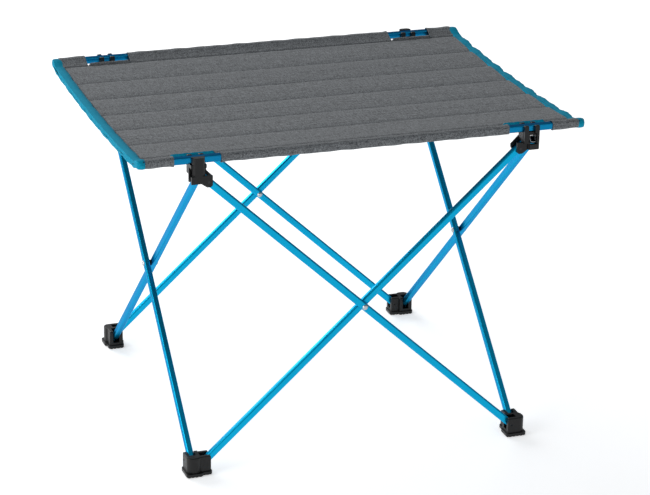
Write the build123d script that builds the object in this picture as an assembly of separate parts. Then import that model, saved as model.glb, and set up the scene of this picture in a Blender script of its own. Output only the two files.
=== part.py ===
"""Folding camp table: a roll-up fabric top slung between two poles, on a scissor frame of
eight equal tube legs that folds both ways into a bundle.

Millimetres. X runs along the poles, -Y is the front, Z is up, and the origin is on the floor
under the middle of the table.
"""
import os
from math import atan2, cos, degrees, hypot, sin

from build123d import *

# Overall sizes
TOP_LENGTH = 560.0  # over the two end bindings
FRAME_PITCH = 417.0  # between pole centre lines, and between hub centres along the poles
TOP_HEIGHT = 407.6  # floor to the top of a pole

# Pole: rounded square tube
POLE_SIDE = 8.6
POLE_CORNER = 2.2
POLE_WALL = 1.0
POLE_FIT = 0.2  # between a pole and the channel or plug around it

# Leg: rounded oblong tube, deeper in the plane that it swings in
LEG_THICK = 7.8
LEG_DEPTH = 9.2
LEG_CORNER = 2.4
LEG_WALL = 1.1
LEG_SLOT_GAP = 0.35  # each side of a leg in its slot
LEG_SWING_GAP = 0.4  # round the end of a leg as it swings

# How far each leg runs on past its end pins
OUTER_TIP_IN_HUB = 16.3
INNER_TIP_IN_HUB = 8.0
TIP_IN_FOOT = 6.0

# Pins, rivets and washers
PIN_DIAMETER = 3.0
PIN_BORE_GAP = 0.08  # radial, where a leg turns on its pin
PIN_SEAT_GAP = 0.02  # radial, where a pin is held in a hub or foot
PIN_RECESS = 1.0  # a foot pin stops short of the outside of its cup
RIVET_SHANK = 3.2
RIVET_HEAD = 7.0
RIVET_HEAD_HEIGHT = 1.4
RIVET_FACE_GAP = 0.1
WASHER_DIAMETER = 8.0
WASHER_THICKNESS = 1.0
WASHER_FACE_GAP = 0.1

# Hub: moulded clip on a pole, with a slot for each of two legs. Heights are from the pole's seat
PIVOT_INSET = 11.5  # from the hub's or foot's centre line to each pin
PIVOT_DROP = 21.5  # from the pole's seat down to the pins
HUB_WALL = 2.75
HUB_CORE = 9.5  # half length of the core along the pole
HUB_CORE_BACK = 10.0
HUB_CORE_FRONT = 9.0
HUB_CORE_DEPTH = 13.5
HUB_CHEEK_DEPTH = 22.7
HUB_CHEEK_BELOW_PIN = 6.0
HUB_CHEEK_PAST_PIN = 4.6
HUB_GUSSET_PAST_PIN = 8.0
HUB_GUSSET_TOP = 8.0
HUB_STOP_THICKNESS = 4.0
HUB_STOP_AT = -1.5  # side of the stop that faces the pin
HUB_STOP_GAP = 0.3
PRONG_SPAN = 9.7  # half width over a pair of prongs
PRONG_WIDTH = 5.5
PRONG_THICKNESS = 4.2
PRONG_HEIGHT = 8.6
PRONG_EDGE = 0.8
PRONG_ROOT = 1.0  # how far a prong starts below the seat
GUARD_WIDTH = 3.2  # the prong that carries on down past the tip of the outer leg
TIP_WINDOW = 1.5  # behind the pole's centre line, the face that the outer leg's tip stands out of
POST_WIDTH = 15.4
POST_HEIGHT = 9.0
POST_CORNER = 5.0

# Foot: two moulded cups side by side on a ridged sole
FOOT_PIVOT_HEIGHT = 16.5
FOOT_WALL = 4.75
FOOT_HEIGHT = 25.0
FOOT_PAST_PIN = 4.5
CUP_BEHIND_PIN = 18.5
CUP_CORNER = 7.5
CUP_EDGE = 1.2
SOLE_FLANGE = 1.8
SOLE_THICKNESS = 5.0
SOLE_CHAMFER = 1.4
RIDGE_PITCH = 4.8
RIDGE_GROOVE = 1.6
RIDGE_DEPTH = 1.2

# Fabric top
CLOTH = 0.9  # one doubled layer of cloth
SLEEVE_EASE = 0.35  # between a pole and its sleeve
SEAM_INSET = 21.0  # from a pole's centre line in to the seam of the panel
PANEL_THICKNESS = 3.4
PANEL_BELOW_POLE_TOP = 6.0
PANEL_SAG = 5.5  # the middle of the panel hangs this far below its seams
CHANNELS = 6
CHANNEL_SEAM = 6.0
SLAT_THICKNESS = 1.2
SLAT_CORNER = 4.0
SLAT_EASE = 0.2
SLAT_SIDE_EASE = 1.2
SLAT_END_EASE = 3.0
CUTOUT = 57.0  # bare length of pole at each hub
CUTOUT_BINDING = 2.6
POLE_IN_BINDING = 5.0  # how far each end of a pole runs into its binding, with its plug
BINDING_WIDTH = 12.0
BINDING_DEPTH = 10.5
BINDING_END_WALL = 1.2
PLUG_LENGTH = 12.0
PLUG_LIP = 1.0

HALF_PITCH = FRAME_PITCH / 2
SEAT = TOP_HEIGHT - POLE_SIDE
POLE_CENTRE = TOP_HEIGHT - POLE_SIDE / 2
LEG_OFFSET = (LEG_THICK + WASHER_THICKNESS) / 2 + WASHER_FACE_GAP
SLOT = LEG_THICK + 2 * LEG_SLOT_GAP
SLOT_NEAR = LEG_OFFSET - SLOT / 2
SLOT_FAR = LEG_OFFSET + SLOT / 2
PIVOT_SPAN = FRAME_PITCH - 2 * PIVOT_INSET
PIVOT_RISE = SEAT - PIVOT_DROP - FOOT_PIVOT_HEIGHT
LEG_SLOPE = atan2(PIVOT_RISE, PIVOT_SPAN)
LEG_SPACING = hypot(PIVOT_SPAN, PIVOT_RISE)
CROSSING = FOOT_PIVOT_HEIGHT + PIVOT_RISE / 2
PANEL_END = TOP_LENGTH / 2 - BINDING_WIDTH
POLE_END = PANEL_END + POLE_IN_BINDING - PLUG_LIP
PANEL_SIDE = HALF_PITCH - SEAM_INSET
PANEL_TOP = TOP_HEIGHT - PANEL_BELOW_POLE_TOP
SLEEVE = POLE_SIDE + 2 * (SLEEVE_EASE + CLOTH)
CHANNEL_PITCH = 2 * PANEL_SIDE / CHANNELS
POCKET_WIDTH = CHANNEL_PITCH - CHANNEL_SEAM
POCKET_HEIGHT = SLAT_THICKNESS + 2 * SLAT_EASE


def block(x0, x1, y0, y1, z0, z1):
    """A box between two corners."""
    return Pos((x0 + x1) / 2, (y0 + y1) / 2, (z0 + z1) / 2) * Box(x1 - x0, y1 - y0, z1 - z0)


def round_uprights(solid, radius):
    """Round the vertical edges of a solid."""
    return fillet(solid.edges().filter_by(Axis.Z), radius)


def upright_plate(outline, y0, y1):
    """A plate between y0 and y1 with an outline given as (x, z) points."""
    face = make_face(Plane.XZ * Polyline(*outline, close=True))
    return Pos(0, y1, 0) * extrude(face, y1 - y0, dir=(0, -1, 0))


def upright_side_plate(outline, x0, x1):
    """A plate between x0 and x1 with an outline given as (y, z) points."""
    face = make_face(Plane.YZ * Polyline(*outline, close=True))
    return Pos(x0, 0, 0) * extrude(face, x1 - x0, dir=(1, 0, 0))


def turned(solid, quarter_turns):
    """A solid turned about Z, anticlockwise from above."""
    return Rot(0, 0, 90 * quarter_turns) * solid


def rod(diameter, start, end, axis):
    """A round rod along X, Y or Z from start to end, given as points."""
    turn = {"x": Rot(0, 90, 0), "y": Rot(90, 0, 0), "z": Rot(0, 0, 0)}[axis]
    middle = (Vector(*start) + Vector(*end)) * 0.5
    length = (Vector(*end) - Vector(*start)).length
    return Pos(*middle) * turn * Cylinder(diameter / 2, length)


def swing_reach(tip):
    """Radius swept by the end corners of a leg that runs a tip past its pin."""
    return hypot(tip, LEG_DEPTH / 2) + LEG_SWING_GAP


def make_leg(tip_below, tip_above):
    """One leg tube, upright, its crossing at the origin, thick along Y."""
    length = LEG_SPACING + tip_below + tip_above
    bottom = -LEG_SPACING / 2 - tip_below
    outer = RectangleRounded(LEG_DEPTH, LEG_THICK, LEG_CORNER)
    bore = RectangleRounded(
        LEG_DEPTH - 2 * LEG_WALL, LEG_THICK - 2 * LEG_WALL, LEG_CORNER - LEG_WALL
    )
    tube = Pos(0, 0, bottom) * extrude(outer - bore, length)
    for height in (-LEG_SPACING / 2, LEG_SPACING / 2):
        hole = PIN_DIAMETER + 2 * PIN_BORE_GAP
        tube -= rod(hole, (0, -LEG_THICK, height), (0, LEG_THICK, height), "y")
    crossing_hole = RIVET_SHANK + 2 * PIN_BORE_GAP
    return tube - rod(crossing_hole, (0, -LEG_THICK, 0), (0, LEG_THICK, 0), "y")


def leg_along_x(side, lean, tip_below, tip_above):
    """A front or rear leg, at Y = side, whose top leans to +X (lean 1) or -X (lean -1)."""
    tilt = lean * (90 - degrees(LEG_SLOPE))
    return Pos(0, side, CROSSING) * Rot(0, tilt, 0) * make_leg(tip_below, tip_above)


def leg_along_y(side, lean, tip_below, tip_above):
    """A left or right leg, at X = side, whose top leans to +Y (lean 1) or -Y (lean -1)."""
    tilt = -lean * (90 - degrees(LEG_SLOPE))
    upright = Rot(0, 0, 90) * make_leg(tip_below, tip_above)
    return Pos(side, 0, CROSSING) * Rot(tilt, 0, 0) * upright


def make_crossing(side, along):
    """Rivet and washer of one pair of legs, through both and between them."""
    face = LEG_OFFSET + LEG_THICK / 2 + RIVET_FACE_GAP
    shank = rod(RIVET_SHANK, (0, -face, 0), (0, face, 0), "y")
    head = Cone(RIVET_HEAD / 2, RIVET_HEAD / 3, RIVET_HEAD_HEIGHT)
    near = Pos(0, -face - RIVET_HEAD_HEIGHT / 2, 0) * Rot(90, 0, 0) * head
    far = Pos(0, face + RIVET_HEAD_HEIGHT / 2, 0) * Rot(-90, 0, 0) * head
    rivet = shank + near + far
    washer = rod(WASHER_DIAMETER, (0, -WASHER_THICKNESS / 2, 0), (0, WASHER_THICKNESS / 2, 0), "y")
    washer -= rod(RIVET_SHANK + 2 * PIN_BORE_GAP, (0, -1, 0), (0, 1, 0), "y")
    if along == "x":
        place = Pos(0, side, CROSSING)
    else:
        place = Pos(side, 0, CROSSING) * Rot(0, 0, 90)
    return place * rivet, place * washer


def low_cheek_outline(start):
    """Low cheek beside a leg's slot: (distance, height) points from a start to just past the pin."""
    low = -PIVOT_DROP - HUB_CHEEK_BELOW_PIN
    past = PIVOT_INSET + HUB_CHEEK_PAST_PIN
    corner = HUB_CHEEK_PAST_PIN / 2
    return [
        (start, -HUB_CORE_DEPTH),
        (past, -HUB_CORE_DEPTH),
        (past, low + corner),
        (PIVOT_INSET + corner, low),
        (PIVOT_INSET - corner, low),
        (PIVOT_INSET - 2 * HUB_CHEEK_PAST_PIN, -HUB_CHEEK_DEPTH),
        (start, -HUB_CHEEK_DEPTH),
    ]


def gusset_outline(start):
    """Sloping cheek beside a leg's slot: (distance, height) points from a start to past the pin."""
    low = -PIVOT_DROP - HUB_CHEEK_BELOW_PIN
    past = PIVOT_INSET + HUB_GUSSET_PAST_PIN
    slope = past - HUB_CORE
    return [
        (start, -HUB_GUSSET_TOP),
        (HUB_CORE, -HUB_GUSSET_TOP),
        (past, -HUB_GUSSET_TOP - slope),
        (past, -PIVOT_DROP),
        (PIVOT_INSET + HUB_CHEEK_PAST_PIN, low),
        (PIVOT_INSET - HUB_CHEEK_PAST_PIN, low),
        (PIVOT_INSET - 2 * HUB_CHEEK_PAST_PIN, -HUB_CHEEK_DEPTH),
        (start, -HUB_CHEEK_DEPTH),
    ]


def hub_body(front):
    """Lower part of a hub: cheeks of an outer leg's slot along X and an inner leg's along Y.

    It is drawn for the front left corner, with the pole's seat at Z = 0; its core starts at front.
    """
    outside = SLOT_FAR + HUB_WALL
    inside = SLOT_NEAR - HUB_WALL
    body = block(-HUB_CORE, HUB_CORE, front, HUB_CORE_BACK, -HUB_CORE_DEPTH, 0)
    body += upright_plate(low_cheek_outline(-HUB_CORE), -outside, -SLOT_FAR)
    body += upright_plate(gusset_outline(-HUB_CORE), -SLOT_NEAR, -inside)
    body += block(inside, SLOT_NEAR, 0, HUB_CORE_BACK, -HUB_CHEEK_DEPTH, 0)
    body += upright_side_plate(low_cheek_outline(0), inside, SLOT_NEAR)
    return body + upright_side_plate(gusset_outline(0), SLOT_FAR, outside)


def hub_slots():
    """What is cut from a hub so that its two legs can swing, and the bores of their pins."""
    past = 3 * HUB_CORE
    low = -2 * PIVOT_DROP
    outer_roof = -PIVOT_DROP + swing_reach(OUTER_TIP_IN_HUB)
    inner_reach = swing_reach(INNER_TIP_IN_HUB)
    cut = block(-past, past, -SLOT_FAR, -SLOT_NEAR, low, outer_roof)
    cut += block(SLOT_NEAR, SLOT_FAR, PIVOT_INSET - inner_reach, past, low, inner_reach - PIVOT_DROP)
    for bore in hub_pins(PIN_DIAMETER + 2 * PIN_SEAT_GAP, HUB_WALL / 2):
        cut += bore
    return cut


def hub_stop():
    """The web under the tip of the outer leg, on which the leg comes to rest when it is open."""
    under = LEG_DEPTH / 2 / cos(LEG_SLOPE) + HUB_STOP_GAP
    top = -PIVOT_DROP + (PIVOT_INSET - HUB_STOP_AT) * sin(LEG_SLOPE) / cos(LEG_SLOPE) - under
    left = HUB_STOP_AT - HUB_STOP_THICKNESS
    half_wall = HUB_WALL / 2
    return block(left, HUB_STOP_AT, -SLOT_FAR - half_wall, half_wall - SLOT_NEAR, -HUB_CHEEK_DEPTH, top)


def prong(x0, y0, bottom):
    """One prong of a hub's pole channel, from its low corner, with rounded top edges."""
    bar = block(x0, x0 + PRONG_WIDTH, y0, y0 + PRONG_THICKNESS, bottom, PRONG_HEIGHT)
    return fillet(bar.edges().group_by(Axis.Z)[-1], PRONG_EDGE)


def make_hub(kind):
    """A hub at the origin, for the front left corner (post) or the front right one (prongs)."""
    channel = POLE_SIDE / 2 + POLE_FIT
    outside = SLOT_FAR + HUB_WALL
    low = -HUB_CORE_DEPTH
    under_seat = -PIVOT_DROP + swing_reach(OUTER_TIP_IN_HUB)
    if kind == "post":
        hub = hub_body(-HUB_CORE_FRONT)
        post = block(-POST_WIDTH / 2, POST_WIDTH / 2, -outside, -channel, low, POST_HEIGHT)
        front_edges = post.edges().filter_by(Axis.Z).group_by(Axis.Y)[0]
        hub += fillet(front_edges, min(POST_CORNER, 0.9 * (outside - channel)))
        hub -= hub_slots()
        for side in (-1, 1):
            x0, x1 = sorted((side * POST_WIDTH / 2, side * 2 * HUB_CORE))
            hub -= block(x0, x1, -outside, -SLOT_FAR, low, under_seat)
        hub += hub_stop()
    else:
        hub = turned(hub_body(-outside) - hub_slots(), 1)
        hub -= block(-2 * HUB_CORE, 2 * HUB_CORE, -2 * HUB_CORE, -channel, -2 * PIVOT_DROP, 0)
        hub -= block(PRONG_WIDTH - PRONG_SPAN, SLOT_FAR, -channel, -TIP_WINDOW, low, under_seat)
        hub += turned(hub_stop(), 1)
        front = -channel - PRONG_THICKNESS
        hub += prong(-PRONG_SPAN, front, low)
        hub += prong(PRONG_SPAN - PRONG_WIDTH, front, -PRONG_ROOT)
        hub += block(PRONG_SPAN - GUARD_WIDTH, PRONG_SPAN, front, -channel, low, 0)
    for left in (-PRONG_SPAN, PRONG_SPAN - PRONG_WIDTH):
        hub += prong(left, channel, -PRONG_ROOT)
    return hub


def hub_pins(diameter=PIN_DIAMETER, overrun=0.0):
    """The two pins of a hub, flush with its cheeks; the bores that hold them overrun a little."""
    outside = SLOT_FAR + HUB_WALL + overrun
    inside = HUB_WALL - SLOT_NEAR
    height = -PIVOT_DROP
    outer = rod(diameter, (PIVOT_INSET, -outside, height), (PIVOT_INSET, inside, height), "y")
    inner = rod(diameter, (-inside, PIVOT_INSET, height), (outside, PIVOT_INSET, height), "x")
    return [outer, inner]


def foot_cup(x0, x1, y0, y1):
    """One cup of a foot on its sole flange, rounded at its closed end, which is at low Y."""
    cup = block(x0, x1, y0, y1, 0, FOOT_HEIGHT)
    closed_end = cup.edges().filter_by(Axis.Z).group_by(Axis.Y)[0]
    cup = fillet(closed_end, min(CUP_CORNER, 0.45 * (x1 - x0)))
    cup = fillet(cup.edges().group_by(Axis.Z)[-1], CUP_EDGE)
    rim = SOLE_FLANGE
    sole = block(x0 - rim, x1 + rim, y0 - rim, y1 + rim, 0, SOLE_THICKNESS)
    sole = round_uprights(sole, min(CUP_CORNER, 0.45 * (x1 - x0)) / 2)
    return cup + chamfer(sole.edges().group_by(Axis.Z)[0], SOLE_CHAMFER)


def make_foot():
    """A foot at the origin: the outer leg's cup opens to +Y and the inner leg's to +X."""
    outside = SLOT_FAR + FOOT_WALL
    inside = FOOT_WALL - SLOT_NEAR
    open_end = PIVOT_INSET + FOOT_PAST_PIN
    closed_end = PIVOT_INSET - CUP_BEHIND_PIN
    foot = foot_cup(-outside, inside, closed_end, open_end)
    foot += turned(foot_cup(-outside, inside, -inside, open_end), -1)
    far = 2 * (SLOT_FAR + CUP_BEHIND_PIN)
    grooves = int(far / RIDGE_PITCH)
    for step in range(-grooves, grooves + 1):
        start = step * RIDGE_PITCH - RIDGE_GROOVE / 2
        foot -= block(start, start + RIDGE_GROOVE, -far, far, -1, RIDGE_DEPTH)
        foot -= block(-far, far, start, start + RIDGE_GROOVE, -1, RIDGE_DEPTH)
    reach = swing_reach(TIP_IN_FOOT)
    start = PIVOT_INSET - reach
    floor = FOOT_PIVOT_HEIGHT - reach
    foot -= block(-SLOT_FAR, -SLOT_NEAR, start, far, floor, 2 * FOOT_HEIGHT)
    foot -= block(start, far, SLOT_NEAR, SLOT_FAR, floor, 2 * FOOT_HEIGHT)
    return foot - foot_pins(PIN_DIAMETER + 2 * PIN_SEAT_GAP, FOOT_WALL / 2)


def foot_pins(diameter=PIN_DIAMETER, overrun=-PIN_RECESS):
    """The two pins of a foot, which stop short of its outside, or the bores that hold them."""
    outside = SLOT_FAR + FOOT_WALL + overrun
    inside = FOOT_WALL - SLOT_NEAR - PIN_RECESS
    height = FOOT_PIVOT_HEIGHT
    outer = rod(diameter, (-outside, PIVOT_INSET, height), (inside, PIVOT_INSET, height), "x")
    inner = rod(diameter, (PIVOT_INSET, -inside, height), (PIVOT_INSET, outside, height), "y")
    return [outer, inner]


def tube_along_x(outer, corner, wall, x0, x1):
    """A rounded square tube along X, centred on the X axis."""
    section = RectangleRounded(outer, outer, corner)
    section -= RectangleRounded(outer - 2 * wall, outer - 2 * wall, max(corner - wall, 0.3))
    return Pos(x0, 0, 0) * Rot(0, 90, 0) * extrude(section, x1 - x0)


def make_plugs():
    """The two end plugs of a pole: a lip over the end of the tube and a spigot inside it."""
    bore = POLE_SIDE - 2 * POLE_WALL
    plugs = []
    for side in (-1, 1):
        spigot = RectangleRounded(bore, bore, POLE_CORNER - POLE_WALL)
        lip = RectangleRounded(POLE_SIDE, POLE_SIDE, POLE_CORNER)
        plug = extrude(spigot, PLUG_LENGTH) + Pos(0, 0, PLUG_LENGTH) * extrude(lip, PLUG_LIP)
        plugs.append(Pos(side * (POLE_END - PLUG_LENGTH), 0, 0) * Rot(0, 90 * side, 0) * plug)
    return plugs


def make_hem(x0, x1):
    """One stretch of hem: a sleeve round the front pole and a tongue in to the seam."""
    ring = tube_along_x(SLEEVE, POLE_CORNER + SLEEVE_EASE + CLOTH, CLOTH, x0, x1)
    ring = Pos(0, -HALF_PITCH, POLE_CENTRE) * ring
    tongue_start = -HALF_PITCH + SLEEVE / 2 - CLOTH / 2
    return ring + block(x0, x1, tongue_start, -PANEL_SIDE, PANEL_TOP - 2 * CLOTH, PANEL_TOP)


def seam_drop(y):
    """How far the panel hangs below its side seams at a distance from its middle line."""
    return PANEL_SAG * (1 - (y / PANEL_SIDE) ** 2)


def channel_seams():
    """Y of each seam across the panel, from the front, with the two side seams."""
    return [-PANEL_SIDE + n * CHANNEL_PITCH for n in range(CHANNELS + 1)]


def channel_places():
    """Place of each channel from the front: at its middle, tilted with the sag of the panel."""
    seams = channel_seams()
    places = []
    for front, back in zip(seams, seams[1:]):
        drops = seam_drop(front), seam_drop(back)
        tilt = degrees(atan2(drops[0] - drops[1], back - front))
        height = PANEL_TOP - (drops[0] + drops[1]) / 2
        places.append(Pos(0, (front + back) / 2, height) * Rot(tilt, 0, 0))
    return places


def make_panel():
    """The panel between the side seams: a flat facet over each channel, which is open at its ends."""
    seams = channel_seams()
    top = [(y, PANEL_TOP - seam_drop(y)) for y in seams]
    bottom = [(y, z - PANEL_THICKNESS) for y, z in reversed(top)]
    panel = upright_side_plate(top + bottom, -PANEL_END, PANEL_END)
    pocket = Pos(0, 0, -PANEL_THICKNESS / 2) * Box(2 * TOP_LENGTH, POCKET_WIDTH, POCKET_HEIGHT)
    for place in channel_places():
        panel -= place * pocket
    return panel


def make_slat():
    """A flat stiffener that lies loose in its channel, under the origin of that channel."""
    half_width = POCKET_WIDTH / 2 - SLAT_SIDE_EASE
    half_length = PANEL_END - SLAT_END_EASE
    middle = -PANEL_THICKNESS / 2
    half = SLAT_THICKNESS / 2
    slat = block(-half_length, half_length, -half_width, half_width, middle - half, middle + half)
    return round_uprights(slat, SLAT_CORNER)


def make_binding():
    """The right end binding: a folded strip that closes the channels, with a pocket at each
    end for the end of a pole."""
    half = HALF_PITCH - SLEEVE / 2 + CLOTH
    right = TOP_LENGTH / 2
    top = [(y, PANEL_TOP + CLOTH - seam_drop(y)) for y in channel_seams()]
    top = [(-half, top[0][1])] + top + [(half, top[-1][1])]
    inner = [(y, z - CLOTH - PANEL_THICKNESS) for y, z in reversed(top)]
    bottom = [(y, z - BINDING_DEPTH) for y, z in reversed(top)]
    strip = upright_side_plate(top + inner, PANEL_END, right)
    strip += upright_side_plate(top + bottom, right - BINDING_END_WALL, right)
    for side in (-1, 1):
        strip += Pos(0, side * HALF_PITCH, POLE_CENTRE) * pole_pocket(right)
    return strip


def pole_pocket(right):
    """The pocket of an end binding round the end of a pole, on the X axis."""
    outer = RectangleRounded(SLEEVE, SLEEVE, POLE_CORNER + SLEEVE_EASE + CLOTH)
    inner_side = POLE_SIDE + 2 * SLEEVE_EASE
    inner = RectangleRounded(inner_side, inner_side, POLE_CORNER + SLEEVE_EASE)
    shell = Pos(PANEL_END, 0, 0) * Rot(0, 90, 0) * extrude(outer, right - PANEL_END)
    hollow = Pos(PANEL_END, 0, 0) * Rot(0, 90, 0) * extrude(inner, right - BINDING_END_WALL - PANEL_END)
    return shell - hollow


def save(name, *solids):
    """Write one node; its solids stay separate."""
    shape = solids[0] if len(solids) == 1 else Compound(children=list(solids))
    export_step(shape, f"parts/{name}.step")


os.makedirs("parts", exist_ok=True)

# Legs
near = HALF_PITCH - LEG_OFFSET
far = HALF_PITCH + LEG_OFFSET
outer_tips = (TIP_IN_FOOT, OUTER_TIP_IN_HUB)
inner_tips = (TIP_IN_FOOT, INNER_TIP_IN_HUB)
save("leg_front_outer", leg_along_x(-far, -1, *outer_tips))
save("leg_front_inner", leg_along_x(-near, 1, *inner_tips))
save("leg_rear_inner", leg_along_x(near, -1, *inner_tips))
save("leg_rear_outer", leg_along_x(far, 1, *outer_tips))
save("leg_left_inner", leg_along_y(-near, -1, *inner_tips))
save("leg_left_outer", leg_along_y(-far, 1, *outer_tips))
save("leg_right_outer", leg_along_y(far, -1, *outer_tips))
save("leg_right_inner", leg_along_y(near, 1, *inner_tips))

# Rivet and washer where each pair of legs crosses
crossings = {
    "front": (-HALF_PITCH, "x"),
    "rear": (HALF_PITCH, "x"),
    "left": (-HALF_PITCH, "y"),
    "right": (HALF_PITCH, "y"),
}
for name, (side, along) in crossings.items():
    rivet, washer = make_crossing(side, along)
    save(f"rivet_{name}", rivet)
    save(f"washer_{name}", washer)

# Hubs and feet: each corner is the one before it, a quarter turn round
corners = {
    "front_left": (-1, -1, 0),
    "front_right": (1, -1, 1),
    "rear_right": (1, 1, 2),
    "rear_left": (-1, 1, 3),
}
hubs = [make_hub("post"), make_hub("prongs")]
foot = make_foot()
for name, (x, y, turns) in corners.items():
    hub_place = Pos(x * HALF_PITCH, y * HALF_PITCH, SEAT)
    foot_place = Pos(x * HALF_PITCH, y * HALF_PITCH, 0)
    save(f"hub_{name}", hub_place * turned(hubs[turns % 2], 2 * (turns // 2)))
    save(f"hub_pins_{name}", *[hub_place * turned(pin, turns) for pin in hub_pins()])
    save(f"foot_{name}", foot_place * turned(foot, turns))
    save(f"foot_pins_{name}", *[foot_place * turned(pin, turns) for pin in foot_pins()])

# Poles, their plugs and the hems round them
cutout_near = HALF_PITCH - CUTOUT / 2
cutout_far = HALF_PITCH + CUTOUT / 2
stretches = {
    "left": (-PANEL_END, -cutout_far),
    "middle": (-cutout_near, cutout_near),
    "right": (cutout_far, PANEL_END),
}
for name, turns in (("front", 0), ("rear", 2)):
    pole = tube_along_x(POLE_SIDE, POLE_CORNER, POLE_WALL, -POLE_END, POLE_END)
    place = Pos(0, -HALF_PITCH, POLE_CENTRE)
    save(f"pole_{name}", turned(place * pole, turns))
    save(f"pole_plugs_{name}", *[turned(place * plug, turns) for plug in make_plugs()])
    for part, (x0, x1) in stretches.items():
        start, end = (x0, x1) if turns == 0 else (-x1, -x0)
        save(f"hem_{name}_{part}", turned(make_hem(start, end), turns))

# Panel, slats and bindings
save("panel", make_panel())
for number, place in enumerate(channel_places(), 1):
    save(f"slat_{number}", place * make_slat())
save("binding_right", make_binding())
save("binding_left", turned(make_binding(), 2))
cut_edge = block(
    -CUTOUT / 2,
    CUTOUT / 2,
    -PANEL_SIDE - CUTOUT_BINDING,
    -PANEL_SIDE,
    PANEL_TOP - PANEL_THICKNESS,
    PANEL_TOP,
)
for name, (x, y, turns) in corners.items():
    edge = Pos(x * HALF_PITCH, 0, 0) * turned(cut_edge, 0 if y < 0 else 2)
    save(f"cutout_binding_{name}", edge)
print(f"leg slope {degrees(LEG_SLOPE):.3f} deg, pins {LEG_SPACING:.2f} mm apart, crossing at {CROSSING:.2f}")
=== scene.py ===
"""A low folding camp table: a grey cloth top between two poles, on a blue scissor frame."""
from math import cos, exp, pi, radians, sin

import bpy
from mathutils import Euler, Matrix, Vector


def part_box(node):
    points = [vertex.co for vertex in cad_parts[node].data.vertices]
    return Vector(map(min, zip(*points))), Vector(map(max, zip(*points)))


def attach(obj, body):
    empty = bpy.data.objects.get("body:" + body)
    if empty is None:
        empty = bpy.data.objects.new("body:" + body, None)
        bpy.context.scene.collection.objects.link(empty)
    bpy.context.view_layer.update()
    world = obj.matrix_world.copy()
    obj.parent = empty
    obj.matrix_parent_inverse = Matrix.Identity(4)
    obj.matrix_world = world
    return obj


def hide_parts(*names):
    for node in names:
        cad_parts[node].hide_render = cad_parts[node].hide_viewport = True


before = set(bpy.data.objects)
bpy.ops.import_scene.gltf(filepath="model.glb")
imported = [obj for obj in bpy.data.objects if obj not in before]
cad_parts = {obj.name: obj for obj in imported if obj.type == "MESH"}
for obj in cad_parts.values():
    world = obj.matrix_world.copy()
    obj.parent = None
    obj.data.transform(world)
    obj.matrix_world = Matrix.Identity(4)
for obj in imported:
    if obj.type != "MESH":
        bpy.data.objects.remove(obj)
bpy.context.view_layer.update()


# Leg tubes and poles. Rounded oblong aluminium tube, drawn, cut to length and then anodised blue.
# The dye colours the skin alone, so a freshly cut end is bare metal.

END_FACING = 0.9  # a face that looks along its tube at least this squarely is a cut end


def linear(hex_colour):
    """An sRGB hex colour as linear red, green, blue and alpha."""
    channels = [int(hex_colour[i : i + 2], 16) / 255 for i in (1, 3, 5)]
    return [c / 12.92 if c <= 0.04045 else ((c + 0.055) / 1.055) ** 2.4 for c in channels] + [1.0]


def add_node(tree, kind, settings=None, links=None):
    """Add a node, with its settings by name or socket and its inputs linked from other sockets."""
    node = tree.nodes.new(kind)
    for name, value in (settings or {}).items():
        if isinstance(name, str) and hasattr(node, name):
            setattr(node, name, value)
        else:
            node.inputs[name].default_value = value
    for name, socket in (links or {}).items():
        tree.links.new(socket, node.inputs[name])
    return node


def new_material(name, shader_settings):
    """A material with one shader, and its node tree, shader and object coordinates."""
    material = bpy.data.materials.new(name)
    material.use_nodes = True
    tree = material.node_tree
    shader = tree.nodes["Principled BSDF"]
    for socket, value in shader_settings.items():
        shader.inputs[socket].default_value = value
    place = add_node(tree, "ShaderNodeTexCoord")
    return material, tree, shader, place


def two_colours(tree, factor, first, second):
    """The colour between two hex colours at a factor."""
    mix = add_node(tree, "ShaderNodeMix", {"data_type": "RGBA"}, {0: factor})
    mix.inputs[6].default_value = linear(first)
    mix.inputs[7].default_value = linear(second)
    return mix.outputs[2]


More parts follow.
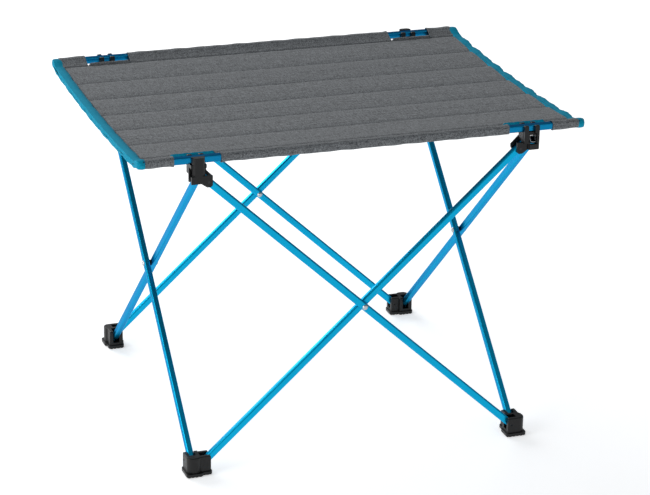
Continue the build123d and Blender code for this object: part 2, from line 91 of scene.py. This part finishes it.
def anodised_aluminium(name, along, dark, light):
    """Satin blue anodised tube that runs along a direction, with its cut ends left bare."""
    # a dyed oxide film over metal: deep colour even at a glancing angle, under a thin clear gloss
    settings = {
        "Specular Tint": linear("#6FB4DA"),
        "Coat Weight": 0.12,
        "Coat Roughness": 0.16,
    }
    material, tree, shader, place = new_material(name, settings)
    # drawing leaves faint cloudy streaks, tens of millimetres long
    cloud = add_node(
        tree,
        "ShaderNodeTexNoise",
        {"Scale": 28.0, "Detail": 3.0},
        {"Vector": place.outputs["Object"]},
    )
    dye = two_colours(tree, cloud.outputs["Fac"], dark, light)
    # the ends are the faces whose normal lies along the tube
    facing = add_node(
        tree,
        "ShaderNodeVectorMath",
        {"operation": "DOT_PRODUCT", 1: along},
        {0: place.outputs["Normal"]},
    )
    size = add_node(tree, "ShaderNodeMath", {"operation": "ABSOLUTE"}, {0: facing.outputs["Value"]})
    end = add_node(
        tree,
        "ShaderNodeMath",
        {"operation": "GREATER_THAN", 1: END_FACING},
        {0: size.outputs[0]},
    )
    colour = add_node(tree, "ShaderNodeMix", {"data_type": "RGBA"}, {0: end.outputs[0], 6: dye})
    colour.inputs[7].default_value = linear("#D2D4D6")
    tree.links.new(colour.outputs[2], shader.inputs["Base Color"])
    # the saw leaves an end so rough that it scatters light like a matte surface
    shine = add_node(
        tree, "ShaderNodeMapRange", {"To Min": 1.0, "To Max": 0.2}, {"Value": end.outputs[0]}
    )
    tree.links.new(shine.outputs[0], shader.inputs["Metallic"])
    # satin etch under the dye, a little uneven
    roughness = add_node(
        tree,
        "ShaderNodeMapRange",
        {"To Min": 0.24, "To Max": 0.34},
        {"Value": cloud.outputs["Fac"]},
    )
    tree.links.new(roughness.outputs[0], shader.inputs["Roughness"])
    grain = add_node(
        tree,
        "ShaderNodeTexNoise",
        {"Scale": 1400.0, "Detail": 2.0},
        {"Vector": place.outputs["Object"]},
    )
    bump = add_node(
        tree,
        "ShaderNodeBump",
        {"Strength": 0.12, "Distance": 0.00005},
        {"Height": grain.outputs["Fac"]},
    )
    tree.links.new(bump.outputs[0], shader.inputs["Normal"])
    return material


def dress(nodes, material):
    """Give CAD nodes a material."""
    for name in nodes:
        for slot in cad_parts[name].material_slots:
            slot.material = material


leg_low, leg_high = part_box("leg_front_outer")
leg_run = Vector((leg_high[0] - leg_low[0], 0, leg_high[2] - leg_low[2])).normalized()
run, rise = leg_run.x, leg_run.z
tube_directions = {
    "falling_right": ((run, 0, -rise), ["leg_front_outer", "leg_rear_inner"]),
    "rising_right": ((run, 0, rise), ["leg_front_inner", "leg_rear_outer"]),
    "falling_back": ((0, run, -rise), ["leg_left_inner", "leg_right_outer"]),
    "rising_back": ((0, run, rise), ["leg_left_outer", "leg_right_inner"]),
    "level": ((1, 0, 0), ["pole_front", "pole_rear"]),
}
leg_dye = ("#0098C6", "#08AAD6")
pole_dye = ("#0070A0", "#0480AE")  # from a deeper batch
for direction, (along, tubes) in tube_directions.items():
    dye = pole_dye if direction == "level" else leg_dye
    dress(tubes, anodised_aluminium(f"blue_anodised_{direction}", along, *dye))


# Hubs, feet, washers and pole plugs. Black glass-filled nylon, injection moulded; the mould's
# spark-eroded face leaves an even fine grain, and glass at the surface dulls the gloss.

def moulded_nylon(name, dark, light, roughness):
    """Black moulded nylon with a fine grain and faint flow marks."""
    material, tree, shader, place = new_material(name, {"IOR": 1.53, "Specular IOR Level": 0.3})
    flow = add_node(
        tree,
        "ShaderNodeTexNoise",
        {"Scale": 160.0, "Detail": 4.0},
        {"Vector": place.outputs["Object"]},
    )
    tree.links.new(two_colours(tree, flow.outputs["Fac"], dark, light), shader.inputs["Base Color"])
    dull = add_node(
        tree,
        "ShaderNodeMapRange",
        {"To Min": roughness - 0.08, "To Max": roughness + 0.08},
        {"Value": flow.outputs["Fac"]},
    )
    tree.links.new(dull.outputs[0], shader.inputs["Roughness"])
    # spark-eroded grain, 0.4 mm across
    grain = add_node(
        tree, "ShaderNodeTexVoronoi", {"Scale": 2500.0}, {"Vector": place.outputs["Object"]}
    )
    bump = add_node(
        tree,
        "ShaderNodeBump",
        {"Strength": 0.35, "Distance": 0.00008},
        {"Height": grain.outputs["Distance"]},
    )
    tree.links.new(bump.outputs[0], shader.inputs["Normal"])
    return material


corners = ["front_left", "front_right", "rear_left", "rear_right"]
sides = ["front", "rear", "left", "right"]
nylon = moulded_nylon("moulded_black_nylon", "#060708", "#0D0E0F", 0.42)
dress([f"hub_{corner}" for corner in corners], nylon)
dress([f"foot_{corner}" for corner in corners], nylon)
softer = moulded_nylon("moulded_washer_nylon", "#090A0B", "#101112", 0.56)
dress([f"washer_{side}" for side in sides], softer)
dress(["pole_plugs_front", "pole_plugs_rear"], softer)


# Pins and rivets. Turned steel: the pins are oil-blackened, and the rivets at the crossings are
# zinc plated, with a pale cold shine.

def turned_steel(name, colour):
    """Turned steel with fine uneven polish."""
    settings = {"Metallic": 1.0, "Base Color": linear(colour)}
    material, tree, shader, place = new_material(name, settings)
    polish = add_node(
        tree,
        "ShaderNodeTexNoise",
        {"Scale": 900.0, "Detail": 3.0},
        {"Vector": place.outputs["Object"]},
    )
    worn = add_node(
        tree, "ShaderNodeMapRange", {"To Min": 0.2, "To Max": 0.4}, {"Value": polish.outputs["Fac"]}
    )
    tree.links.new(worn.outputs[0], shader.inputs["Roughness"])
    bump = add_node(
        tree,
        "ShaderNodeBump",
        {"Strength": 0.2, "Distance": 0.00004},
        {"Height": polish.outputs["Fac"]},
    )
    tree.links.new(bump.outputs[0], shader.inputs["Normal"])
    return material


blackened = turned_steel("blackened_turned_steel", "#3A3B3D")
dress([f"hub_pins_{corner}" for corner in corners], blackened)
dress([f"foot_pins_{corner}" for corner in corners], blackened)
plated = turned_steel("zinc_plated_steel", "#B9BCC0")
dress([f"rivet_{side}" for side in sides], plated)


# Slats. Flat strips of mill-finish aluminium, loose in the panel's channels, hidden by the cloth.

SLATS = 6


def mill_aluminium():
    """Rolled strip with long faint streaks from the rolls."""
    settings = {"Metallic": 1.0, "Base Color": linear("#C4C6C8")}
    material, tree, shader, place = new_material("mill_aluminium", settings)
    stretch = add_node(
        tree,
        "ShaderNodeMapping",
        {"Scale": (3.0, 900.0, 900.0)},
        {"Vector": place.outputs["Object"]},
    )
    streaks = add_node(tree, "ShaderNodeTexNoise", {"Scale": 1.0}, {"Vector": stretch.outputs[0]})
    dull = add_node(
        tree,
        "ShaderNodeMapRange",
        {"To Min": 0.3, "To Max": 0.5},
        {"Value": streaks.outputs["Fac"]},
    )
    tree.links.new(dull.outputs[0], shader.inputs["Roughness"])
    return material


dress([f"slat_{number}" for number in range(1, SLATS + 1)], mill_aluminium())


# Cloth panel. Two layers of grey melange polyester, sewn together along X into six channels that
# each hold a slat, so it hangs in flat facets with a soft crease and a line of stitches between.

MM = 0.001
CHANNELS = SLATS
PANEL_THICKNESS = 3.4 * MM
PUFF = 0.8 * MM  # the cloth stands off its slats
CREASE_DEPTH = 2.6 * MM
CREASE_FRONT = 2.4 * MM  # the cloth rises quickly on the near side of a seam
CREASE_REAR = 5.0 * MM  # and on the far side first quickly, then in a long slope
SLOPE_REAR = 16.0 * MM
SLOPE_SHARE = 0.55
PUCKER = 0.15 * MM
PUCKER_WAVES = (19.0 * MM, 31.0 * MM)
PUCKER_REACH = 9.0 * MM
EDGE_ROLL = 2.0 * MM
EDGE_ROLL_WIDTH = 1.6 * MM
SLACK = 0.2 * MM
SLACK_DRIFT = (9.0, 40.0)  # radians a metre along X and Y

panel_low, panel_high = [Vector(corner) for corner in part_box("panel")]
panel_depth = panel_high.y
panel_end = panel_high.x
seam_height = panel_high.z
sag = max(panel_high.z - panel_low.z - PANEL_THICKNESS, 0.0)
channel = 2 * panel_depth / CHANNELS


def woven_polyester(name, dark, light, weave_mm, streaks, sheen):
    """Plain-woven yarn-dyed cloth: crossed yarns, each a little lighter or darker than the next."""
    settings = {
        "Roughness": 0.92,
        "Sheen Weight": sheen,
        "Sheen Roughness": 0.5,
        "Specular IOR Level": 0.2,
    }
    material, tree, shader, place = new_material(name, settings)
    yarns = 1000.0 / weave_mm
    # yarns of uneven shade along X and Y, each shade holding for about a centimetre
    shades = []
    for stretch in ((90.0, yarns, yarns), (yarns, 90.0, yarns)):
        mapped = add_node(
            tree, "ShaderNodeMapping", {"Scale": stretch}, {"Vector": place.outputs["Object"]}
        )
        noise = add_node(
            tree, "ShaderNodeTexNoise", {"Scale": 1.0, "Detail": 1.0}, {"Vector": mapped.outputs[0]}
        )
        shades.append(noise.outputs["Fac"])
    crossed = add_node(tree, "ShaderNodeMath", {"operation": "ADD"}, {0: shades[0], 1: shades[1]})
    speck = add_node(
        tree,
        "ShaderNodeTexNoise",
        {"Scale": yarns, "Detail": 2.0},
        {"Vector": place.outputs["Object"]},
    )
    mixed = add_node(
        tree,
        "ShaderNodeMath",
        {"operation": "MULTIPLY_ADD", 1: streaks},
        {0: crossed.outputs[0], 2: speck.outputs["Fac"]},
    )
    shade = add_node(
        tree,
        "ShaderNodeMapRange",
        {"From Min": streaks + 0.28, "From Max": streaks + 0.72},
        {"Value": mixed.outputs[0]},
    )
    tree.links.new(two_colours(tree, shade.outputs[0], dark, light), shader.inputs["Base Color"])
    # crossed yarns stand proud of each other by a fraction of their width
    waves = []
    for direction in ("X", "Y"):
        wave = add_node(
            tree,
            "ShaderNodeTexWave",
            {"bands_direction": direction, "Scale": yarns / 20.0, "Distortion": 0.6},
            {"Vector": place.outputs["Object"]},
        )
        waves.append(wave.outputs["Fac"])
    weave = add_node(tree, "ShaderNodeMath", {"operation": "MULTIPLY"}, {0: waves[0], 1: waves[1]})
    relief = add_node(
        tree, "ShaderNodeMath", {"operation": "ADD"}, {0: weave.outputs[0], 1: speck.outputs["Fac"]}
    )
    bump = add_node(
        tree,
        "ShaderNodeBump",
        {"Strength": 0.6, "Distance": weave_mm * 0.15 * MM},
        {"Height": relief.outputs[0]},
    )
    tree.links.new(bump.outputs[0], shader.inputs["Normal"])
    return material


def cloth_from_grid(name, columns, rows, place):
    """Lay a flat grid over a shape: place gives the point at a share (0 to 1) across and along."""
    bpy.ops.object.select_all(action="DESELECT")
    bpy.ops.mesh.primitive_grid_add(x_subdivisions=columns, y_subdivisions=rows, size=2.0)
    piece = bpy.context.object
    piece.name = name
    for vertex in piece.data.vertices:
        vertex.co = place((vertex.co.x + 1) / 2, (vertex.co.y + 1) / 2)
    return piece


def select_only(piece):
    """Make a piece the active object, and the only one selected."""
    bpy.ops.object.select_all(action="DESELECT")
    piece.select_set(True)
    bpy.context.view_layer.objects.active = piece


def edit(piece, *steps):
    """Run edit-mode operators on all of a piece, each as (operator, settings)."""
    select_only(piece)
    bpy.ops.object.mode_set(mode="EDIT")
    bpy.ops.mesh.select_all(action="SELECT")
    for operator, settings in steps:
        operator(**settings)
    bpy.ops.object.mode_set(mode="OBJECT")


def finish_modifier(piece, kind, settings):
    """Add a modifier and apply it."""
    select_only(piece)
    modifier = piece.modifiers.new(kind.title(), kind)
    for name, value in settings.items():
        setattr(modifier, name, value)
    bpy.ops.object.modifier_apply(modifier=modifier.name)


def smooth(piece, angle=40.0):
    """Shade smooth except across edges sharper than an angle in degrees."""
    select_only(piece)
    bpy.ops.object.shade_smooth_by_angle(angle=radians(angle))


def hand_in(piece, material, body, slot, *replaced):
    """Give a finished piece its material, its body and the nodes it stands for; slot is not used.
    """
    piece.data.materials.clear()
    piece.data.materials.append(material)
    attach(piece, body)
    if replaced:
        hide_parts(*replaced)
    return piece


def facet_height(y):
    """Height of the flat facets at y: straight from seam to seam along a shallow sag."""
    share = (min(max(y, -panel_depth), panel_depth) + panel_depth) / channel
    first = min(int(share), CHANNELS - 1)
    seams = [-panel_depth + number * channel for number in (first, first + 1)]
    near, far = [-sag * (1 - (seam / panel_depth) ** 2) for seam in seams]
    return seam_height + near + (far - near) * (share - first)


def panel_height(x, y):
    """Height of the cloth: the facets, less the crease and pucker at each seam between channels."""
    nearest = round((y + panel_depth) / channel)
    away = y + panel_depth - nearest * channel
    height = facet_height(y) + PUFF
    if 0 < nearest < CHANNELS:
        if away > 0:
            fall = (1 - SLOPE_SHARE) * exp(-away / CREASE_REAR)
            fall += SLOPE_SHARE * exp(-away / SLOPE_REAR)
        else:
            fall = exp(away / CREASE_FRONT)
        height -= CREASE_DEPTH * fall
    short, long = [2 * pi * x / wave for wave in PUCKER_WAVES]
    wave = sin(short + 1.7 * nearest) + 0.7 * sin(long + 2.3 * nearest)
    height += PUCKER * wave * exp(-abs(away) / PUCKER_REACH)
    height -= EDGE_ROLL * exp(-(panel_depth - abs(y)) / EDGE_ROLL_WIDTH)
    # slow hollows where the cloth is slack between its slats
    drift = SLACK_DRIFT[0] * x + SLACK_DRIFT[1] * y
    return height + SLACK * sin(drift) * sin(2 * pi * (y + panel_depth) / channel)


def place_panel(across, along):
    """A point of the panel's upper face."""
    x = -panel_end + 2 * panel_end * across
    y = -panel_depth + 2 * panel_depth * along
    return x, y, panel_height(x, y)


panel = cloth_from_grid("panel_cloth", columns=120, rows=168, place=place_panel)
finish_modifier(panel, "SOLIDIFY", {"thickness": PANEL_THICKNESS, "offset": -1.0})
smooth(panel)
# the yarn is finer than this, and is drawn this coarse so that it shows
grey_cloth = woven_polyester("grey_melange_polyester", "#3E4042", "#828588", 1.4, 0.35, 0.15)
hand_in(panel, grey_cloth, "top", "grey_cloth", "panel")


# Stitching. Bonded polyester thread, lockstitched: short oval stitches in a row, in each crease.

STITCH_LENGTH = 2.6 * MM
STITCH_GAP = 0.9 * MM
STITCH_WIDTH = 0.55 * MM
STITCH_LIFT = 0.1 * MM  # from the cloth to the middle of the thread
CHANNEL_STITCH_INSET = 4.0 * MM  # from each end of the panel


def sewing_thread(name, dark, light):
    """Matte twisted thread, its strands showing as slanting bands."""
    settings = {"Roughness": 0.75, "Sheen Weight": 0.15, "Specular IOR Level": 0.3}
    material, tree, shader, place = new_material(name, settings)
    twist = add_node(
        tree,
        "ShaderNodeTexWave",
        {"bands_direction": "DIAGONAL", "Scale": 450.0},
        {"Vector": place.outputs["Object"]},
    )
    strands = two_colours(tree, twist.outputs["Fac"], dark, light)
    tree.links.new(strands, shader.inputs["Base Color"])
    bump = add_node(
        tree,
        "ShaderNodeBump",
        {"Strength": 0.5, "Distance": 0.00006},
        {"Height": twist.outputs["Fac"]},
    )
    tree.links.new(bump.outputs[0], shader.inputs["Normal"])
    return material


def stitch_row(name, length, follow):
    """A row of stitches of a given length, then laid along a line: follow moves each vertex."""
    pitch = STITCH_LENGTH + STITCH_GAP
    count = int(length / pitch)
    bpy.ops.object.select_all(action="DESELECT")
    bpy.ops.mesh.primitive_uv_sphere_add(segments=6, ring_count=4, radius=0.5)
    row = bpy.context.object
    row.name = name
    size = Matrix.Diagonal((STITCH_LENGTH, STITCH_WIDTH, STITCH_WIDTH, 1))
    row.data.transform(Matrix.Translation(((pitch - length) / 2, 0, 0)) @ size)
    copies = {
        "count": count,
        "use_relative_offset": False,
        "use_constant_offset": True,
        "constant_offset_displace": (pitch, 0, 0),
    }
    finish_modifier(row, "ARRAY", copies)
    for vertex in row.data.vertices:
        vertex.co = follow(*vertex.co)
    smooth(row, 80.0)
    return row


grey_thread = sewing_thread("grey_bonded_thread", "#2C2E30", "#404346")
# the hem seams' thread is near-black: real stitching, darkened so that it also paints the shadow in
# each seam's groove
seam_shadow_thread = sewing_thread("black_thread_painted_seam_shadow", "#0C0D0E", "#1A1B1C")
for number in range(1, CHANNELS):
    crease_y = -panel_depth + number * channel

    def along_channel(x, y, z):
        return x, crease_y + y, panel_height(x, crease_y) + z + STITCH_LIFT

    length = 2 * (panel_end - CHANNEL_STITCH_INSET)
    row = stitch_row(f"channel_stitching_{number}", length, along_channel)
    hand_in(row, grey_thread, "top", "grey_cloth")


# Hems. The panel's cloth carried on over each pole and back under it, as a sleeve with a flat
# allowance in to the seam. Its mouths at the cut-outs are turned in, and swell a little.

CLOTH = 0.9 * MM
SLEEVE_HALF = 5.0 * MM  # middle of the cloth, from the pole's centre
SLEEVE_CORNER = 3.2 * MM
ALLOWANCE_DIP = 0.7 * MM
SEAM_GAP = 0.5 * MM
LOWER_LAYER = 3.0 * MM
MOUTH_TURN = 5.0 * MM
MOUTH_SWELL = 0.45 * MM
SWELL = 0.18 * MM  # the sleeve isn't quite even along its length
SWELL_WAVES = (43.0 * MM, 27.0 * MM)
HEM_OVER_END = 3.0 * MM  # past the panel, where its end is turned in
END_TURN = 0.08  # as a share of the way to the pole's centre
# the hem stitches sit in the seam's groove, where their near-black colour paints the seam's shadow
HEM_STITCH_DROP = 0.9 * MM  # from the panel's edge down into the groove of the seam
HEM_STITCH_INSET = 2.0 * MM

pole_low, pole_high = [Vector(corner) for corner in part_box("pole_front")]
pole_y = (pole_low.y + pole_high.y) / 2
pole_z = (pole_low.z + pole_high.z) / 2


def eased(value, start, end):
    """0 before start, 1 after end, and smooth between."""
    share = min(max((value - start) / (end - start), 0.0), 1.0)
    return share * share * (3 - 2 * share)


def quarter(centre_y, centre_z, start):
    """Points round a quarter circle of the sleeve's corner, from an angle in degrees."""
    angles = [radians(start + turn) for turn in (0, 18, 36, 54, 72, 90)]
    return [(centre_y + SLEEVE_CORNER * cos(a), centre_z + SLEEVE_CORNER * sin(a)) for a in angles]


def straight(start, end, steps, dip=0.0):
    """Points from a start up to, not including, an end, with a dip in between."""
    shares = [step / steps for step in range(steps)]
    return [
        (start[0] + (end[0] - start[0]) * s, start[1] + (end[1] - start[1]) * s - dip * sin(pi * s))
        for s in shares
    ]


inset = SLEEVE_HALF - SLEEVE_CORNER
seam_y = -panel_depth - SEAM_GAP
lip = (seam_y, seam_height - EDGE_ROLL)
shoulder = (seam_y - 1.6 * MM, seam_height + 0.1 * MM)
over_pole = (pole_y + 2.4 * MM, pole_z + SLEEVE_HALF)
front_top = quarter(pole_y - inset, pole_z + inset, 90)
front_low = quarter(pole_y - inset, pole_z - inset, 180)
under_pole = (pole_y + 3.2 * MM, pole_z - SLEEVE_HALF + 0.3 * MM)
lower_lip = (seam_y, seam_height - LOWER_LAYER)
section = (
    straight(lip, shoulder, 3)
    + straight(shoulder, over_pole, 12, ALLOWANCE_DIP)
    + straight(over_pole, front_top[0], 4)
    + front_top
    + straight(front_top[-1], front_low[0], 5)[1:]
    + front_low
    + straight(front_low[-1], under_pole, 5)[1:]
    + straight(under_pole, lower_lip, 8, -ALLOWANCE_DIP)
    + [lower_lip]
)


def section_normal(index):
    """Outward direction of the hem's section at a point."""
    before, after = section[max(index - 1, 0)], section[min(index + 1, len(section) - 1)]
    return Vector((0, before[1] - after[1], after[0] - before[0])).normalized() * -1


def make_hem(node, towards):
    """One stretch of hem for a CAD node, at the front (towards 1) or turned half round (-1)."""
    low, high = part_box(node)
    ends = [low[0], high[0]]
    for index, towards_end in ((0, -1), (1, 1)):
        if abs(ends[index]) > panel_end - MM:
            ends[index] += towards_end * HEM_OVER_END
    length = ends[1] - ends[0]
    columns = max(int(length / (3 * MM)), 16)
    at_mouth = [x for x in ends if abs(x) < panel_end]

    def place_hem(across, along):
        x = ends[0] + length * across
        index = round(along * (len(section) - 1))
        y, z = section[index]
        long, short = [2 * pi * x / wave for wave in SWELL_WAVES]
        swell = SWELL * (sin(long + 0.3 * index) + sin(short - 0.2 * index))
        away = min(abs(x - mouth) for mouth in at_mouth)
        if away < MOUTH_TURN:
            swell += MOUTH_SWELL * cos(0.5 * pi * away / MOUTH_TURN) ** 2
        held = min(1.0, 4.0 * along, 4.0 * (1 - along))
        out = section_normal(index) * swell * held
        shut = END_TURN * eased(abs(x), panel_end, panel_end + HEM_OVER_END)
        y, z = y + out.y, z + out.z
        return x, towards * (y + (pole_y - y) * shut), z + (pole_z - z) * shut

    piece = cloth_from_grid(f"{node}_cloth", columns, len(section) - 1, place_hem)
    edit(piece, (bpy.ops.mesh.normals_make_consistent, {"inside": False}))
    finish_modifier(piece, "SOLIDIFY", {"thickness": CLOTH, "offset": 0.0})
    smooth(piece, 50.0)
    return hand_in(piece, grey_cloth, "top", "grey_cloth", node)


for side, towards in (("front", 1), ("rear", -1)):
    for stretch in ("left", "middle", "right"):
        hem = make_hem(f"hem_{side}_{stretch}", towards)
        low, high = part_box(f"hem_{side}_{stretch}")
        middle, length = (low[0] + high[0]) / 2, high[0] - low[0]

        def along_allowance(x, y, z):
            across = towards * (seam_y + SEAM_GAP / 2 + y)
            return middle + x, across, seam_height - HEM_STITCH_DROP + z

        length -= 2 * HEM_STITCH_INSET
        # a near-black row of stitches along each hem seam, which also paints the seam's shadow
        row = stitch_row(f"hem_stitching_{side}_{stretch}", length, along_allowance)
        hand_in(row, seam_shadow_thread, "top", "grey_cloth")


# End bindings. Teal woven tape folded over each end of the cloth, which shuts the channels, and
# sewn on; at each corner it becomes a closed pocket that holds the end of a pole.

BINDING_WIDTH = 12.0 * MM
BINDING_DROP = 9.5 * MM
BINDING_LIFT = 0.9 * MM
TAPE_RADIUS = 2.6 * MM
EAR_START = panel_depth + 1.0 * MM
EAR_END = -pole_y + 5.9 * MM
EAR_TOP = 5.0 * MM  # above the pole's centre line
EAR_DROP = 11.2 * MM
POCKET_CLOSES = 4.5 * MM  # the last stretch of an ear, where it narrows to its sewn end
SHUT_WIDTH = 0.35
SHUT_HEIGHT = 0.12
GATHERS = 6
TAPE_STITCH_INSET = 2.4 * MM
TAPE_STITCH_LIFT = 0.15 * MM


def rounded_box(share, width, height, radius):
    """A point at a share of the way round a rounded box centred on the origin."""
    angle = 2 * pi * share
    x, z = cos(angle), sin(angle)
    reach = max(abs(x), abs(z))
    corner_x = (width / 2 - radius) * x / reach
    corner_z = (height / 2 - radius) * z / reach
    return corner_x + radius * x, corner_z + radius * z


def place_binding(side, gather):
    """Where the tape of one end lies; gather is how far the sewing has drawn it up."""

    def place(across, along):
        y = -EAR_END + 2 * EAR_END * along
        ear = eased(abs(y), EAR_START, -pole_y - 2.0 * MM)
        top = (facet_height(y) + BINDING_LIFT) * (1 - ear) + (pole_z + EAR_TOP) * ear
        drop = BINDING_DROP * (1 - ear) + EAR_DROP * ear
        phase = GATHERS * pi * y / EAR_END
        drawn = gather * (1 - 0.7 * ear) * (abs(sin(phase)) - 0.5 + 0.3 * sin(1.3 * phase + 1.0))
        width = BINDING_WIDTH + 2.0 * drawn
        height = drop + 1.2 * drawn
        # the pocket is sewn shut past the pole
        open_share = 1 - eased(abs(y), EAR_END - POCKET_CLOSES, EAR_END)
        width *= SHUT_WIDTH + (1 - SHUT_WIDTH) * open_share**0.5
        height *= SHUT_HEIGHT + (1 - SHUT_HEIGHT) * open_share**0.5
        x, z = rounded_box(across, width, height, min(TAPE_RADIUS, height / 2.2, width / 2.2))
        centre = panel_end + BINDING_WIDTH / 2
        wrinkle = 0.22 * gather * sin(5.3 * phase + 9.0 * across) * (1 - ear)
        return side * (centre + x + wrinkle), y, top - drop / 2 + z

    return place


def tube_of_tape(name, columns, rows, place):
    """A grid rolled up into a closed tube: joined along its length, and filled at its ends."""
    piece = cloth_from_grid(name, columns, rows, place)
    edit(
        piece,
        (bpy.ops.mesh.remove_doubles, {"threshold": 0.01 * MM}),
        (bpy.ops.mesh.fill_holes, {"sides": 0}),
        (bpy.ops.mesh.normals_make_consistent, {"inside": False}),
    )
    smooth(piece, 60.0)
    return piece


# the tape is a rib weave, drawn about twice as coarse as it is
teal_tape = woven_polyester("teal_binding_tape", "#007E9E", "#0098B6", 0.9, 0.2, 0.0)
teal_thread = sewing_thread("teal_bonded_thread", "#005A72", "#06748C")
for name, side, gather in (("binding_left", -1, 0.45 * MM), ("binding_right", 1, 1.3 * MM)):
    binding = tube_of_tape(f"{name}_tape", 40, 260, place_binding(side, gather))
    hand_in(binding, teal_tape, "top", "teal_binding", name)

    def along_tape(x, y, z):
        height = facet_height(x) + BINDING_LIFT + TAPE_STITCH_LIFT
        return side * (panel_end + TAPE_STITCH_INSET + y), x, height + z

    row = stitch_row(f"{name}_stitching", 2 * panel_depth, along_tape)
    hand_in(row, teal_thread, "top", "teal_binding")


# Cut-out bindings. The cut edge of the panel behind each hub is rolled up into a lip: teal tape
# faces it on the outside, and the panel's own cloth on the inside.

CUTOUT_STAND = 3.6 * MM  # the rolled edge stands up from the panel
LIP_RADIUS = 1.2 * MM
LIP_SPREAD = 1.0 * MM  # wider than the bound edge inside it
LIP_LEAN = 0.2 * MM  # outwards
RIPPLE = 0.15 * MM
RIPPLE_WAVE = 11.0 * MM
TUCK_SHARE = 0.06  # of the length, at each end
TUCK_DROP = 1.5 * MM
TAPE_FACING = 0.25  # the tape covers the faces that look outwards at least this much


def make_cutout_binding(node):
    """A roll of tape along the cut edge, its two ends tucked down into the seam."""
    low, high = [Vector(corner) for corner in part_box(node)]
    outward = -1 if low.y < 0 else 1
    top = high.z + CUTOUT_STAND
    width, height = high.y - low.y + LIP_SPREAD, top - low.z

    def place(across, along):
        x = low.x + (high.x - low.x) * along
        tuck = 1 - eased(min(along, 1 - along), 0.0, TUCK_SHARE)
        y, z = rounded_box(across, width, height * (1 - 0.5 * tuck), LIP_RADIUS)
        middle = (low.y + high.y) / 2 + outward * LIP_LEAN
        ripple = RIPPLE * sin(2 * pi * x / RIPPLE_WAVE)
        height_here = (low.z + top) / 2 + z + ripple - TUCK_DROP * tuck
        return x, middle + y * (1 - 0.5 * tuck), height_here

    piece = tube_of_tape(f"{node}_tape", 20, 48, place)
    hand_in(piece, teal_tape, "top", "teal_binding", node)
    piece.data.materials.append(grey_cloth)
    for face in piece.data.polygons:
        face.material_index = int(outward * face.normal.y < TAPE_FACING)
    return piece


cutout_bindings = [make_cutout_binding(f"cutout_binding_{corner}") for corner in corners]


# Studio. A pale glowing floor, a broad soft light behind, one on the left and a weak fill.

FLOOR_SIZE = 24.0
FLOOR_GLOW = 0.5
AIR_GLOW = 0.34


def opal_acrylic():
    """White acrylic of a light table, lit a little from below so that shadows stay faint."""
    settings = {
        "Roughness": 0.9,
        "Emission Color": linear("#FFFFFF"),
        "Emission Strength": FLOOR_GLOW,
    }
    material, tree, shader, place = new_material("opal_acrylic", settings)
    noise = add_node(
        tree, "ShaderNodeTexNoise", {"Scale": 3.0}, {"Vector": place.outputs["Object"]}
    )
    whites = two_colours(tree, noise.outputs["Fac"], "#F4F4F5", "#F8F8F9")
    tree.links.new(whites, shader.inputs["Base Color"])
    return material


def add_softbox(name, place, target, size, power):
    """A square white area light that faces a point."""
    light = bpy.data.lights.new(name, "AREA")
    light.energy = power
    light.size = size
    box = bpy.data.objects.new(name, light)
    bpy.context.scene.collection.objects.link(box)
    box.location = place
    box.rotation_euler = (Vector(target) - Vector(place)).to_track_quat("-Z", "Y").to_euler()


bpy.ops.object.select_all(action="DESELECT")
bpy.ops.mesh.primitive_plane_add(size=FLOOR_SIZE)
floor = bpy.context.object
floor.name = "studio_floor"
floor.data.materials.append(opal_acrylic())

world = bpy.data.worlds.new("studio_air")
bpy.context.scene.world = world
world.use_nodes = True
air = world.node_tree.nodes["Background"]
air.inputs["Color"].default_value = linear("#E9EEF2")
air.inputs["Strength"].default_value = AIR_GLOW

table_middle = (0.0, 0.0, 0.25)
add_softbox("softbox_left", (-2.6, -0.6, 1.3), table_middle, size=1.6, power=30.0)
add_softbox("softbox_rear", (-0.9, 2.9, 2.0), table_middle, size=2.2, power=70.0)
add_softbox("softbox_front", (0.9, -3.2, 1.6), table_middle, size=1.8, power=9.0)

# the camera stands a little to the left of the front, looking down on the table
CAMERA_PLACE = (-0.9818, -2.8452, 1.3503)
CAMERA_AZIMUTH = -19.465
CAMERA_ELEVATION = 21.0
CAMERA_ROLL = 1.013
SENSOR_MM = 36.0
LENS_MM = 139.5
lens = bpy.data.cameras.new("camera")
lens.sensor_width = SENSOR_MM
lens.lens = LENS_MM
lens.clip_start = 0.05
camera = bpy.data.objects.new("camera", lens)
bpy.context.scene.collection.objects.link(camera)
aim = Euler((radians(90 - CAMERA_ELEVATION), 0, radians(CAMERA_AZIMUTH))).to_matrix().to_4x4()
camera.matrix_world = (
    Matrix.Translation(CAMERA_PLACE) @ aim @ Matrix.Rotation(radians(CAMERA_ROLL), 4, "Z")
)
bpy.context.scene.camera = camera
bpy.context.scene.view_settings.view_transform = "Standard"
